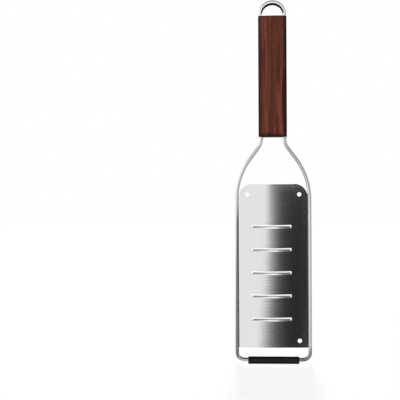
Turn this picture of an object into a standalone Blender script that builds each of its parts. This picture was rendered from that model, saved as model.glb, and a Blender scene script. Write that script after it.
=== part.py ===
"""Hand grater for shaving: walnut handle, bent steel rod, crowned blade, hanging loop and rubber foot.

The origin is the middle of the foot's flat underside. +Z runs up the handle, +X across the blade, and the
blade's cutting face looks along -Y. Every length is in metres and every angle in degrees.
"""
import math

import bmesh
import bpy
import numpy as np

# Fits between neighbouring pieces
TOUCH_GAP = 0.0003
BORE_CLEARANCE = 0.00025
BORE_END_GAP = 0.0005
CUT_OVERRUN = 0.002

# Handle, a bar of walnut
HANDLE_WIDTH = 0.02495
HANDLE_THICKNESS = 0.0170
HANDLE_LENGTH = 0.1061
HANDLE_EDGE_RADIUS = 0.0032
HANDLE_END_RADIUS = 0.0008
LEG_SIDE_WALL = 0.0005
TENON_SIDE_WALL = 0.0006

# Frame, one round rod bent into a hairpin
ROD_DIAMETER = 0.0033
FRAME_WIDTH = 0.0676
FRAME_CORNER_RADIUS = 0.0064
FRAME_SIDE_LENGTH = 0.1350
FRAME_SHOULDER_RADIUS = 0.060
FRAME_NECK_ANGLE = 37.0
FRAME_EXIT_RADIUS = 0.0165
FRAME_EXIT_STRAIGHT = 0.0004
FRAME_LEG_LENGTH = 0.045

# Blade, a crowned sheet with its long edges rolled back
BLADE_LENGTH = 0.1440
BLADE_ABOVE_ROD = 0.00925
BLADE_SHEET = 0.0005
BLADE_CROWN_RADIUS = 0.400
BLADE_ROLL_RADIUS = 0.0020
BLADE_CORNER_RADIUS = 0.0110
HOLE_DIAMETER = 0.0038
HOLE_SIDE_INSET = 0.0072
HOLE_TOP_INSET = 0.0090
HOLE_BOTTOM_INSET = 0.0060

# Slots, each with a raised lip below its gap
SLOT_COUNT = 5
SLOT_PITCH = 0.0204
SLOT_FIRST_INSET = 0.0258
SLOT_SIDEWAYS = -0.0010
SLOT_WIDTH = 0.0350
SLOT_GAP = 0.0011
SLOT_BOW = 0.0003
SLOT_HOOK_WIDTH = 0.0009
SLOT_HOOK_DROP = 0.0013
LIP_LENGTH = 0.0024
LIP_RISE = 0.0009
LIP_CURVE_POWER = 1.5

# Hanging loop, a half-ring of flat bar with two tenons
LOOP_SIDE_INSET = 0.0002
LOOP_BAR_THICKNESS = 0.0027
LOOP_BAR_DEPTH = 0.0095
LOOP_BAR_EDGE_RADIUS = 0.0008
LOOP_LEG_LENGTH = 0.0013
TENON_DIAMETER = 0.0020
TENON_LENGTH = 0.0140

# Foot, a rubber sleeve with a flat sole
FOOT_LENGTH = 0.0450
FOOT_DEPTH = 0.0080
FOOT_HEIGHT = 0.0058
FOOT_SOLE = 0.0014
FOOT_TOP_RADIUS = 0.0020
FOOT_SOLE_RADIUS = 0.0008
FOOT_END_CHAMFER = 0.0004

# Mesh fineness, in sides, steps and degrees
ROD_SIDES = 16
BORE_SIDES = 24
HOLE_SIDES = 20
CORNER_STEPS = 3
WIDE_CORNER_STEPS = 5
BEND_STEP_ANGLE = 7.5
LOOP_STEP_ANGLE = 6.0
ROLL_STEPS = 5
BLADE_CORNER_STEPS = 6
BLADE_MARGIN_COLUMNS = 2
LIP_COLUMNS = 8
LIP_ROWS = 2
SMOOTH_ANGLE = 35.0

# Places that follow from the sizes above
ROD_RADIUS = ROD_DIAMETER / 2
ROD_BORE_RADIUS = ROD_RADIUS + BORE_CLEARANCE
ROD_HALF_SPAN = FRAME_WIDTH / 2 - ROD_RADIUS
ROD_BOTTOM_Z = FOOT_SOLE + ROD_BORE_RADIUS
LEG_HALF_SPAN = HANDLE_WIDTH / 2 - LEG_SIDE_WALL - ROD_BORE_RADIUS
TENON_BORE_RADIUS = TENON_DIAMETER / 2 + BORE_CLEARANCE
TENON_HALF_SPAN = HANDLE_WIDTH / 2 - TENON_SIDE_WALL - TENON_BORE_RADIUS
LOOP_OUTER_RADIUS = HANDLE_WIDTH / 2 - LOOP_SIDE_INSET
LOOP_BAR_RADIUS = LOOP_OUTER_RADIUS - LOOP_BAR_THICKNESS / 2
BLADE_HALF_WIDTH = ROD_HALF_SPAN - ROD_RADIUS - TOUCH_GAP
BLADE_BOTTOM_Z = ROD_BOTTOM_Z + ROD_RADIUS + BLADE_ABOVE_ROD
BLADE_TOP_Z = BLADE_BOTTOM_Z + BLADE_LENGTH


def cosine(angle):
    """Cosine of an angle in degrees."""
    return math.cos(math.radians(angle))


def sine(angle):
    """Sine of an angle in degrees."""
    return math.sin(math.radians(angle))


def neck_slope_length():
    """Straight run of the neck that is left once its two bends have taken their part of the width."""
    bends = (FRAME_SHOULDER_RADIUS + FRAME_EXIT_RADIUS) * (1 - cosine(FRAME_NECK_ANGLE))
    return (ROD_HALF_SPAN - LEG_HALF_SPAN - bends) / sine(FRAME_NECK_ANGLE)


def neck_height():
    """Height that the neck climbs, from the top of the straight sides to the handle's lower end."""
    bends = (FRAME_SHOULDER_RADIUS + FRAME_EXIT_RADIUS) * sine(FRAME_NECK_ANGLE)
    return bends + neck_slope_length() * cosine(FRAME_NECK_ANGLE) + FRAME_EXIT_STRAIGHT


HANDLE_BOTTOM_Z = ROD_BOTTOM_Z + FRAME_CORNER_RADIUS + FRAME_SIDE_LENGTH + neck_height()
HANDLE_TOP_Z = HANDLE_BOTTOM_Z + HANDLE_LENGTH
LOOP_BOTTOM_Z = HANDLE_TOP_Z + TOUCH_GAP


# Scene and material helpers
def clear_scene():
    """Remove every object that the file starts with."""
    for old in list(bpy.data.objects):
        bpy.data.objects.remove(old, do_unlink=True)


def make_material(name, colour, roughness, metallic):
    """Principled material of one linear colour, roughness and metallic value."""
    material = bpy.data.materials.new(name)
    material.use_nodes = True
    shader = material.node_tree.nodes["Principled BSDF"]
    shader.inputs["Base Color"].default_value = (*colour, 1.0)
    shader.inputs["Roughness"].default_value = roughness
    shader.inputs["Metallic"].default_value = metallic
    return material


def add_object(name, mesh, material=None):
    """Link a mesh to the scene as an object, shaded smooth between its sharp edges."""
    body = bpy.data.objects.new(name, mesh)
    bpy.context.scene.collection.objects.link(body)
    mesh.shade_smooth()
    mesh.set_sharp_from_angle(angle=math.radians(SMOOTH_ANGLE))
    if material:
        mesh.materials.append(material)
    return body


def mesh_from_bmesh(name, bm):
    """Finish a bmesh: faces turned outwards, written to a new mesh."""
    bmesh.ops.recalc_face_normals(bm, faces=bm.faces)
    mesh = bpy.data.meshes.new(name)
    bm.to_mesh(mesh)
    bm.free()
    return mesh


def add_boolean(body, cutter, operation):
    """Boolean modifier with a wire-drawn cutter that isn't rendered."""
    cutter.hide_render = True
    cutter.display_type = "WIRE"
    modifier = body.modifiers.new(cutter.name, "BOOLEAN")
    modifier.operation = operation
    modifier.solver = "EXACT"
    modifier.object = cutter


# Outlines and sweeps
def rounded_outline(width, depth, radii, steps):
    """Closed outline of a rounded rectangle, centred on zero, one radius for each corner.

    The corners run anticlockwise from the one at +width, +depth.
    """
    points = []
    for corner, radius in enumerate(radii):
        start = 90.0 * corner
        side = (1 if corner in (0, 3) else -1, 1 if corner in (0, 1) else -1)
        centre = (side[0] * (width / 2 - radius), side[1] * (depth / 2 - radius))
        for step in range(steps + 1):
            angle = start + 90.0 * step / steps
            points.append((centre[0] + radius * cosine(angle), centre[1] + radius * sine(angle)))
    return points


def circle_outline(radius, sides):
    """Closed outline of a circle."""
    return [(radius * cosine(360.0 * side / sides), radius * sine(360.0 * side / sides)) for side in range(sides)]


def bent_path(start, heading, moves, step_angle):
    """Points and headings of a bar that is bent in the XZ plane, as a pipe bender would make it.

    A move of one number is a straight run. A move of two is a bend, its radius and its turn, which is to the
    left where it is positive.
    """
    points = [start]
    headings = [heading]
    for move in moves:
        x, z = points[-1]
        heading = headings[-1]
        if len(move) == 1:
            points.append((x + move[0] * cosine(heading), z + move[0] * sine(heading)))
            headings.append(heading)
            continue
        radius, turn = move
        side = math.copysign(1, turn)
        centre = (x - side * radius * sine(heading), z + side * radius * cosine(heading))
        steps = max(2, math.ceil(abs(turn) / step_angle))
        for step in range(1, steps + 1):
            angle = heading + turn * step / steps
            points.append((centre[0] + side * radius * sine(angle), centre[1] - side * radius * cosine(angle)))
            headings.append(angle)
    return points, headings


def swept_bar(name, points, headings, outline):
    """Closed bar: an outline carried square to a path in the XZ plane, capped at both ends.

    The outline's first number lies in the plane, to the left of the path, and its second along +Y.
    """
    bm = bmesh.new()
    rings = []
    for (x, z), heading in zip(points, headings):
        ring = [bm.verts.new((x - u * sine(heading), v, z + u * cosine(heading))) for u, v in outline]
        rings.append(ring)
    count = len(outline)
    for ring, following in zip(rings, rings[1:]):
        for i in range(count):
            j = (i + 1) % count
            bm.faces.new((ring[i], ring[j], following[j], following[i]))
    bm.faces.new(rings[0])
    bm.faces.new(rings[-1])
    return mesh_from_bmesh(name, bm)


def add_upright_pin(name, x, bottom, top, radius, sides):
    """Closed cylinder along Z, used as a tenon or to cut a bore."""
    mesh = swept_bar(name, [(x, bottom), (x, top)], [90.0, 90.0], circle_outline(radius, sides))
    return add_object(name, mesh)


# Handle
def build_handle(material):
    """Walnut bar, rounded along its length and eased at its ends, with four bores."""
    outline = rounded_outline(HANDLE_WIDTH, HANDLE_THICKNESS, [HANDLE_EDGE_RADIUS] * 4, WIDE_CORNER_STEPS)
    rings = []
    for end_z, inward in ((HANDLE_BOTTOM_Z, 1), (HANDLE_TOP_Z, -1)):
        steps = range(CORNER_STEPS + 1)
        eased = [(HANDLE_END_RADIUS * (1 - sine(90.0 * step / CORNER_STEPS)),
                  end_z + inward * HANDLE_END_RADIUS * (1 - cosine(90.0 * step / CORNER_STEPS))) for step in steps]
        rings += eased[::inward]
    bm = bmesh.new()
    loops = []
    for inset, z in rings:
        width_share = 1 - 2 * inset / HANDLE_WIDTH
        depth_share = 1 - 2 * inset / HANDLE_THICKNESS
        loops.append([bm.verts.new((x * width_share, y * depth_share, z)) for x, y in outline])
    count = len(outline)
    for loop, following in zip(loops, loops[1:]):
        for i in range(count):
            j = (i + 1) % count
            bm.faces.new((loop[i], loop[j], following[j], following[i]))
    bm.faces.new(loops[0])
    bm.faces.new(loops[-1])
    handle = add_object("handle", mesh_from_bmesh("handle", bm), material)
    leg_top = HANDLE_BOTTOM_Z + FRAME_LEG_LENGTH + BORE_END_GAP
    tenon_bottom = HANDLE_TOP_Z - TENON_LENGTH - BORE_END_GAP
    for side, word in ((-1, "left"), (1, "right")):
        leg_bore = add_upright_pin("leg_bore_" + word, side * LEG_HALF_SPAN, HANDLE_BOTTOM_Z - CUT_OVERRUN,
                                   leg_top, ROD_BORE_RADIUS, BORE_SIDES)
        tenon_bore = add_upright_pin("tenon_bore_" + word, side * TENON_HALF_SPAN, tenon_bottom,
                                     HANDLE_TOP_Z + CUT_OVERRUN, TENON_BORE_RADIUS, BORE_SIDES)
        add_boolean(handle, leg_bore, "DIFFERENCE")
        add_boolean(handle, tenon_bore, "DIFFERENCE")
    return handle


# Frame rod
def frame_path():
    """Centreline of the whole rod, from the top of its left leg round the bottom to the top of its right leg."""
    moves = [
        (ROD_HALF_SPAN - FRAME_CORNER_RADIUS,),
        (FRAME_CORNER_RADIUS, 90.0),
        (FRAME_SIDE_LENGTH,),
        (FRAME_SHOULDER_RADIUS, FRAME_NECK_ANGLE),
        (neck_slope_length(),),
        (FRAME_EXIT_RADIUS, -FRAME_NECK_ANGLE),
        (FRAME_EXIT_STRAIGHT + FRAME_LEG_LENGTH,),
    ]
    points, headings = bent_path((0.0, ROD_BOTTOM_Z), 0.0, moves, BEND_STEP_ANGLE)
    left_points = [(-x, z) for x, z in points[:0:-1]]
    left_headings = [-heading for heading in headings[:0:-1]]
    return left_points + points[1:], left_headings + headings[1:]


def build_frame_rod(material):
    """Round rod bent to the frame's outline."""
    points, headings = frame_path()
    mesh = swept_bar("frame_rod", points, headings, circle_outline(ROD_RADIUS, ROD_SIDES))
    return add_object("frame_rod", mesh, material)


# Blade
def blade_front(x):
    """Depth of the blade's front face at x: a wide crown arc that runs tangent into the rolled edges."""
    lever = BLADE_CROWN_RADIUS - BLADE_ROLL_RADIUS
    roll_x = BLADE_HALF_WIDTH - BLADE_ROLL_RADIUS
    crown_y = math.sqrt(lever ** 2 - roll_x ** 2)
    tangent_x = BLADE_CROWN_RADIUS * roll_x / lever
    across = np.abs(x)
    crown = crown_y - np.sqrt(BLADE_CROWN_RADIUS ** 2 - np.minimum(across, tangent_x) ** 2)
    beyond = np.clip(across - roll_x, 0, BLADE_ROLL_RADIUS)
    roll = -np.sqrt(BLADE_ROLL_RADIUS ** 2 - beyond ** 2)
    return np.where(across <= tangent_x, crown, roll)


def slot_sides():
    """The two ends of every slot, left and right."""
    return SLOT_SIDEWAYS - SLOT_WIDTH / 2, SLOT_SIDEWAYS + SLOT_WIDTH / 2


def blade_columns():
    """Grid lines across the blade, from its left edge to its right."""
    left, right = slot_sides()
    roll_x = BLADE_HALF_WIDTH - BLADE_ROLL_RADIUS
    angles = np.radians(np.linspace(0, 90, ROLL_STEPS + 1))
    roll = roll_x + BLADE_ROLL_RADIUS * np.sin(angles)
    lip = np.linspace(left + SLOT_HOOK_WIDTH, right - SLOT_HOOK_WIDTH, LIP_COLUMNS + 1)
    left_margin = np.linspace(-roll_x, left, BLADE_MARGIN_COLUMNS + 1)
    right_margin = np.linspace(right, roll_x, BLADE_MARGIN_COLUMNS + 1)
    return np.concatenate((-roll[:0:-1], left_margin, lip, right_margin, roll[1:]))


def slot_centres():
    """Height of the middle of each slot's gap, from the lowest up."""
    return [BLADE_BOTTOM_Z + SLOT_FIRST_INSET + slot * SLOT_PITCH for slot in range(SLOT_COUNT)]


def blade_rows():
    """Grid lines up the blade, and for each the slot that it belongs to, or -1 for a plain one."""
    heights = [BLADE_BOTTOM_Z]
    owners = [-1]
    for slot, centre in enumerate(slot_centres()):
        edge = centre - SLOT_GAP / 2
        fold = edge - LIP_LENGTH
        hook = edge - SLOT_HOOK_DROP
        heights.append((heights[-1] + fold) / 2)
        owners.append(-1)
        lip = [fold + (hook - fold) * row / LIP_ROWS for row in range(LIP_ROWS)]
        lip += [hook + (edge - hook) * row / LIP_ROWS for row in range(LIP_ROWS + 1)]
        heights += lip + [edge + SLOT_GAP]
        owners += [slot] * (len(lip) + 1)
    corner_z = BLADE_TOP_Z - BLADE_CORNER_RADIUS
    heights.append((heights[-1] + corner_z) / 2)
    for step in range(BLADE_CORNER_STEPS + 1):
        heights.append(corner_z + BLADE_CORNER_RADIUS * sine(90.0 * step / BLADE_CORNER_STEPS))
    owners += [-1] * (len(heights) - len(owners))
    return np.array(heights), np.array(owners)


def blade_sheet():
    """Front face of the blade as a grid: its points, and its cells less those of the gaps.

    The top rows are drawn in to follow the rounded corners, the rows of a slot bow down in the middle, and
    the points of a lip stand forward by its rise times a power of their share of its length.
    """
    columns = blade_columns()
    heights, owners = blade_rows()
    left, right = slot_sides()
    x = np.tile(columns, (len(heights), 1))
    z = np.tile(heights[:, None], (1, len(columns)))
    climb = np.clip(heights - (BLADE_TOP_Z - BLADE_CORNER_RADIUS), 0, BLADE_CORNER_RADIUS)
    half_width = BLADE_HALF_WIDTH - BLADE_CORNER_RADIUS + np.sqrt(BLADE_CORNER_RADIUS ** 2 - climb ** 2)
    x *= (half_width / BLADE_HALF_WIDTH)[:, None]
    y = blade_front(x)

    across_share = np.clip(2 * (x - SLOT_SIDEWAYS) / SLOT_WIDTH, -1, 1)
    in_slot = (owners >= 0)[:, None]
    z = z - np.where(in_slot, SLOT_BOW * (1 - across_share ** 2), 0)
    centres = np.array(slot_centres())[owners]
    edges = centres - SLOT_GAP / 2
    lip_share = np.clip((heights - (edges - LIP_LENGTH)) / LIP_LENGTH, 0, 1)
    lip_share[heights > edges + SLOT_GAP / 2] = 0
    window = np.clip((np.minimum(x - left, right - x)) / SLOT_HOOK_WIDTH, 0, 1)
    y -= np.where(in_slot, LIP_RISE * lip_share[:, None] ** LIP_CURVE_POWER * window, 0)

    points = np.stack((x, y, z), axis=-1).reshape(-1, 3)
    cells = []
    for row in range(len(heights) - 1):
        for column in range(len(columns) - 1):
            middle_x = (columns[column] + columns[column + 1]) / 2
            middle_z = (heights[row] + heights[row + 1]) / 2
            if not in_gap(middle_x, middle_z):
                first = row * len(columns) + column
                cells.append((first, first + 1, first + 1 + len(columns), first + len(columns)))
    return points, cells


def in_gap(x, z):
    """Whether a place on the flat pattern lies in a slot's gap or in one of its two end hooks."""
    left, right = slot_sides()
    if not left < x < right:
        return False
    at_end = x < left + SLOT_HOOK_WIDTH or x > right - SLOT_HOOK_WIDTH
    drop = SLOT_HOOK_DROP if at_end else 0
    return any(centre - SLOT_GAP / 2 - drop < z < centre + SLOT_GAP / 2 for centre in slot_centres())


def blade_holes():
    """Three cutting pins along Y for the holes in the blade, as one object."""
    side = BLADE_HALF_WIDTH - HOLE_SIDE_INSET
    top = BLADE_TOP_Z - HOLE_TOP_INSET
    places = [(-side, top), (side, top), (side, BLADE_BOTTOM_Z + HOLE_BOTTOM_INSET)]
    reach = BLADE_ROLL_RADIUS + CUT_OVERRUN
    bm = bmesh.new()
    for x, z in places:
        near = [bm.verts.new((x + u, -reach, z + v)) for u, v in circle_outline(HOLE_DIAMETER / 2, HOLE_SIDES)]
        bm.faces.new(near)
        extruded = bmesh.ops.extrude_face_region(bm, geom=[near[0].link_faces[0]])
        moved = [part for part in extruded["geom"] if isinstance(part, bmesh.types.BMVert)]
        bmesh.ops.translate(bm, verts=moved, vec=(0, 2 * reach, 0))
    return add_object("blade_hole_cutter", mesh_from_bmesh("blade_hole_cutter", bm))


def build_blade(material):
    """Sheet with raised lips, thickened to the back, then drilled."""
    points, cells = blade_sheet()
    mesh = bpy.data.meshes.new("blade")
    mesh.from_pydata([tuple(point) for point in points], [], cells)
    mesh.update()
    loose = bmesh.new()
    loose.from_mesh(mesh)
    unused = [vert for vert in loose.verts if not vert.link_faces]
    bmesh.ops.delete(loose, geom=unused, context="VERTS")
    loose.to_mesh(mesh)
    loose.free()
    blade = add_object("blade", mesh, material)
    solidify = blade.modifiers.new("sheet_thickness", "SOLIDIFY")
    solidify.thickness = BLADE_SHEET
    solidify.offset = -1
    add_boolean(blade, blade_holes(), "DIFFERENCE")
    return blade


# Hanging loop
def build_hanging_loop(material):
    """Half-ring of flat bar on two short legs, joined to two tenons that go into the handle."""
    outline = rounded_outline(LOOP_BAR_THICKNESS, LOOP_BAR_DEPTH, [LOOP_BAR_EDGE_RADIUS] * 4, CORNER_STEPS)
    moves = [(LOOP_LEG_LENGTH,), (LOOP_BAR_RADIUS, 180.0), (LOOP_LEG_LENGTH,)]
    points, headings = bent_path((LOOP_BAR_RADIUS, LOOP_BOTTOM_Z), 90.0, moves, LOOP_STEP_ANGLE)
    mesh = swept_bar("hanging_loop", points, headings, outline)
    loop = add_object("hanging_loop", mesh, material)
    for side, word in ((-1, "left"), (1, "right")):
        tenon = add_upright_pin("tenon_" + word, side * TENON_HALF_SPAN, HANDLE_TOP_Z - TENON_LENGTH,
                                LOOP_BOTTOM_Z + LOOP_LEG_LENGTH / 2, TENON_DIAMETER / 2, BORE_SIDES)
        add_boolean(loop, tenon, "UNION")
    return loop


# Foot
def build_foot(material):
    """Rubber sleeve with a flat sole, chamfered ends and a bore for the rod, nearer its top than its sole."""
    radii = [FOOT_TOP_RADIUS, FOOT_SOLE_RADIUS, FOOT_SOLE_RADIUS, FOOT_TOP_RADIUS]
    half = FOOT_LENGTH / 2
    places = [(-half, FOOT_END_CHAMFER), (-half + FOOT_END_CHAMFER, 0), (half - FOOT_END_CHAMFER, 0),
              (half, FOOT_END_CHAMFER)]
    middle_z = FOOT_HEIGHT / 2
    bm = bmesh.new()
    loops = []
    for x, inset in places:
        outline = rounded_outline(FOOT_HEIGHT - 2 * inset, FOOT_DEPTH - 2 * inset, radii, WIDE_CORNER_STEPS)
        loops.append([bm.verts.new((x, v, middle_z + u)) for u, v in outline])
    count = len(loops[0])
    for loop, following in zip(loops, loops[1:]):
        for i in range(count):
            j = (i + 1) % count
            bm.faces.new((loop[i], loop[j], following[j], following[i]))
    bm.faces.new(loops[0])
    bm.faces.new(loops[-1])
    foot = add_object("foot", mesh_from_bmesh("foot", bm), material)
    reach = half + CUT_OVERRUN
    bore_mesh = swept_bar("foot_bore", [(-reach, ROD_BOTTOM_Z), (reach, ROD_BOTTOM_Z)], [0.0, 0.0],
                          circle_outline(ROD_BORE_RADIUS, BORE_SIDES))
    add_boolean(foot, add_object("foot_bore", bore_mesh), "DIFFERENCE")
    return foot


def main():
    """Build the five pieces of the grater."""
    clear_scene()
    steel = make_material("brushed_steel", (0.62, 0.62, 0.62), 0.28, 1.0)
    bright_steel = make_material("polished_steel", (0.70, 0.70, 0.70), 0.12, 1.0)
    walnut = make_material("walnut", (0.075, 0.025, 0.015), 0.45, 0.0)
    rubber = make_material("black_rubber", (0.010, 0.010, 0.010), 0.65, 0.0)
    build_handle(walnut)
    build_frame_rod(bright_steel)
    build_blade(steel)
    build_hanging_loop(bright_steel)
    build_foot(rubber)


main()
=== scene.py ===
"""Looks of a hand grater for shaving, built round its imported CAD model.

The grater stands on its rubber foot at the origin. +Z runs up the walnut handle, +X across the blade, and the
cutting face looks along -Y. Every length is in metres and every angle in degrees, unless its name says
otherwise.
"""

import logging
import math
from collections.abc import Callable
from dataclasses import dataclass, field
from enum import Enum

import bpy
import numpy as np
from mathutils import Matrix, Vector


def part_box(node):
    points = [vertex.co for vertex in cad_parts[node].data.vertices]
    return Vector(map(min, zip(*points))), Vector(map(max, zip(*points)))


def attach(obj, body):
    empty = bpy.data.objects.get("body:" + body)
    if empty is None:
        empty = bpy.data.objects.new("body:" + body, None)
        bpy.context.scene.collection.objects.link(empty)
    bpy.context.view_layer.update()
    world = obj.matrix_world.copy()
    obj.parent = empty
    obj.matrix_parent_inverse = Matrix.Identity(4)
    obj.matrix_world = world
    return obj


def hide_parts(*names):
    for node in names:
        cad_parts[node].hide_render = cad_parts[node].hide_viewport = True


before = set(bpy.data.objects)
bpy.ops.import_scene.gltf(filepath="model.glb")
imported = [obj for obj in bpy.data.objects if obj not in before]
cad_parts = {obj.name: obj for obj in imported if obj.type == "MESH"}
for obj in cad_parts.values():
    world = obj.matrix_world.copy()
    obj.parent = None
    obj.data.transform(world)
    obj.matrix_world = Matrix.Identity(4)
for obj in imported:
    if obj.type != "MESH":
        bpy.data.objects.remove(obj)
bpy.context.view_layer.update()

logging.basicConfig(level=logging.INFO, format="%(name)s: %(message)s")
LOG = logging.getLogger("grater")

BODY = "root"
MM = 0.001

# Faces that meet at more than this angle keep a sharp edge between them.
SMOOTH_ANGLE = 38.0

# An extra line of points this far along a flat keeps the shading flat beside a bend.
FLAT_SUPPORT = 0.1 * MM

# Places nearer to each other than this count as one.
SAME_PLACE = 0.003 * MM

# Nearly all of a noise's levels lie between these two.
NOISE_SPAN = (0.3, 0.7)

Socket = bpy.types.NodeSocket
Place = tuple[float, float, float]
Colour = tuple[float, float, float, float]
Limit = tuple[Socket, float, float] | tuple[Socket, float, float, float]
Levels = tuple[tuple[float, float], ...]


class Slot(Enum):
    """The record's material slots, one for each kind of surface."""

    HANDLE = "handle"
    FRAME = "frame"
    BLADE = "blade"
    LOOP = "loop"
    FOOT = "foot"


class Lines(Enum):
    """The way that the fine lines of a worked surface run, as stretch factors for x, y and z."""

    ACROSS = (1.0, 1.0, 40.0)
    UPRIGHT = (40.0, 40.0, 1.0)


class Work(Enum):
    """What a piece is worked with: solids that are cut out of it, or welded to it."""

    CUT = "DIFFERENCE"
    WELD = "UNION"


# Colour and node helpers
def linear(hex_colour: str, alpha: float = 1.0) -> Colour:
    """Turn an sRGB hex colour into the linear one that shaders take.

    The sRGB curve is a straight line near black, and a power of 2.4 above it.

    Args:
        hex_colour: Six hex digits after a #.
        alpha: Opacity, passed through.

    Returns:
        Linear red, green, blue and alpha.
    """
    srgb = np.array([int(hex_colour[i:i + 2], 16) for i in (1, 3, 5)]) / 255
    light = np.where(srgb <= 0.04045, srgb / 12.92, ((srgb + 0.055) / 1.055) ** 2.4)
    return (*(float(channel) for channel in light), alpha)


def grey(level: float) -> Colour:
    """Linear grey of one level."""
    return (level, level, level, 1.0)


def feed(tree: bpy.types.NodeTree, node: bpy.types.Node, inputs: dict) -> None:
    """Set a node's sockets to values, or link them to other nodes' outputs.

    Args:
        tree: The node's tree.
        node: The node.
        inputs: Socket name or number, and the value or output socket that it takes.
    """
    for name, value in inputs.items():
        if isinstance(value, Socket):
            tree.links.new(value, node.inputs[name])
        else:
            node.inputs[name].default_value = value


def add_node(tree: bpy.types.NodeTree, kind: str, inputs: dict | None = None,
             stops: list[tuple[float, Colour]] | None = None, **settings: object) -> bpy.types.Node:
    """Add a node, set its properties and feed its sockets.

    Args:
        tree: Node tree that gets the node.
        kind: Blender's name for the node's type.
        inputs: Socket name or number, and the value or output socket that it takes.
        stops: Places and colours of a colour ramp, from low to high.
        settings: Properties of the node.

    Returns:
        The new node.
    """
    node = tree.nodes.new(kind)
    for name, value in settings.items():
        setattr(node, name, value)
    feed(tree, node, inputs or {})
    if stops:
        elements = node.color_ramp.elements
        elements[0].position, elements[0].color = stops[0]
        elements[1].position, elements[1].color = stops[-1]
        for place, colour in stops[1:-1]:
            elements.new(place).color = colour
    return node


def new_material(name: str) -> tuple[bpy.types.Material, bpy.types.NodeTree, bpy.types.Node]:
    """Make an empty Principled material.

    Args:
        name: The finish's plain name.

    Returns:
        The material, its node tree and its Principled node.
    """
    material = bpy.data.materials.new(name)
    material.use_nodes = True
    tree = material.node_tree
    return material, tree, tree.nodes["Principled BSDF"]


def soft_mask(tree: bpy.types.NodeTree, limits: list[Limit], strength: float = 1.0) -> Socket:
    """Mask that rises smoothly as one or more values pass from their starts to their ends.

    It is the mask's strength times the product of the values' rises. Each of these goes from zero, or from
    its lowest share, to one.

    Args:
        tree: Node tree that gets the mask.
        limits: Each value's socket, start and end, and its lowest share where that isn't zero.
        strength: The mask's highest level.

    Returns:
        The mask's socket.
    """
    share = strength
    for value, start, end, *lowest in limits:
        rise = add_node(tree, "ShaderNodeMapRange", {"Value": value, "From Min": start, "From Max": end,
                                                     "To Min": lowest[0] if lowest else 0.0},
                        interpolation_type="SMOOTHSTEP")
        share = add_node(tree, "ShaderNodeMath", {0: rise.outputs["Result"], 1: share},
                         operation="MULTIPLY").outputs[0]
    return share


# Mesh helpers
def grid_faces(rows: int, columns: int, closed_rows: bool = False,
               closed_columns: bool = False) -> np.ndarray:
    """Quads of a grid of points that is stored row by row.

    Args:
        rows: Number of rows of points.
        columns: Number of points in a row.
        closed_rows: Whether the last row joins the first.
        closed_columns: Whether a row's last point joins its first.

    Returns:
        Four point numbers for each quad.
    """
    row = np.arange(rows if closed_rows else rows - 1)[:, None]
    column = np.arange(columns if closed_columns else columns - 1)[None, :]
    above = (row + 1) % rows * columns
    right = (column + 1) % columns
    here = row * columns
    corners = (here + column, here + right, above + right, above + column)
    return np.stack(corners, axis=-1).reshape(-1, 4)


def volume_of(points: np.ndarray, quads: np.ndarray) -> float:
    """Signed volume: a sixth of the sum over triangles of a . (b x c).

    Args:
        points: One row of x, y and z for each point.
        quads: Four point numbers for each quad.

    Returns:
        The volume, positive where faces look outwards.
    """
    triangles = np.concatenate((quads[:, (0, 1, 2)], quads[:, (0, 2, 3)]))
    a, b, c = (points[triangles[:, corner]] for corner in range(3))
    return float(np.einsum("ij,ij->", a, np.cross(b, c)) / 6)


def make_mesh(name: str, points: np.ndarray, quads: np.ndarray,
              caps: list[np.ndarray] | None = None) -> bpy.types.Mesh:
    """Put points and faces into a mesh, shaded smooth between its sharp edges.

    Args:
        name: Name of the mesh.
        points: One row of x, y and z for each point.
        quads: Four point numbers for each quad.
        caps: Point numbers of each many-sided end face, in the quads' winding.

    Returns:
        The mesh.
    """
    polygons = [quads.reshape(-1)] + (caps or [])
    sizes = np.concatenate([np.full(len(quads), 4)] + [np.array([len(cap)]) for cap in caps or []])
    corners = np.concatenate(polygons).astype(np.int32)
    mesh = bpy.data.meshes.new(name)
    mesh.vertices.add(len(points))
    mesh.vertices.foreach_set("co", points.astype(np.float32).reshape(-1))
    mesh.loops.add(len(corners))
    mesh.loops.foreach_set("vertex_index", corners)
    mesh.polygons.add(len(sizes))
    mesh.polygons.foreach_set("loop_start", np.concatenate(([0], np.cumsum(sizes)[:-1])).astype(np.int32))
    mesh.update(calc_edges=True)
    mesh.validate()
    mesh.shade_smooth()
    mesh.set_sharp_from_angle(angle=math.radians(SMOOTH_ANGLE))
    return mesh


def closed_skin(name: str, rings: np.ndarray, torus: bool = False) -> bpy.types.Mesh:
    """Closed surface through a row of rings, with an end face on the first and last, or joined end to end.

    The faces are turned round where the signed volume comes out negative, so that they always look outwards.

    Args:
        name: Name of the mesh.
        rings: Points as rings, places in a ring, and x, y and z.
        torus: Whether the last ring joins the first in place of two end faces.

    Returns:
        The mesh.
    """
    count, sides = rings.shape[:2]
    points = rings.reshape(-1, 3)
    quads = grid_faces(count, sides, closed_rows=torus, closed_columns=True)
    first = np.arange(sides)[::-1]
    last = np.arange(sides) + (count - 1) * sides
    if volume_of(points - points.mean(axis=0), quads) < 0:
        quads = quads[:, ::-1]
        first, last = first[::-1], last[::-1]
    return make_mesh(name, points, quads, None if torus else [first, last])


def new_piece(name: str, mesh: bpy.types.Mesh) -> bpy.types.Object:
    """Put a mesh into the scene.

    Args:
        name: Name of the piece.
        mesh: Its mesh.

    Returns:
        An object at the origin, unturned and unscaled.
    """
    piece = bpy.data.objects.new(name, mesh)
    bpy.context.scene.collection.objects.link(piece)
    return piece


def apply_modifiers(piece: bpy.types.Object) -> None:
    """Replace a piece's mesh by what its modifiers make of it.

    Args:
        piece: The piece, which has no modifiers afterwards.
    """
    evaluated = piece.evaluated_get(bpy.context.evaluated_depsgraph_get())
    finished = bpy.data.meshes.new_from_object(evaluated)
    piece.modifiers.clear()
    piece.data = finished


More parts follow.
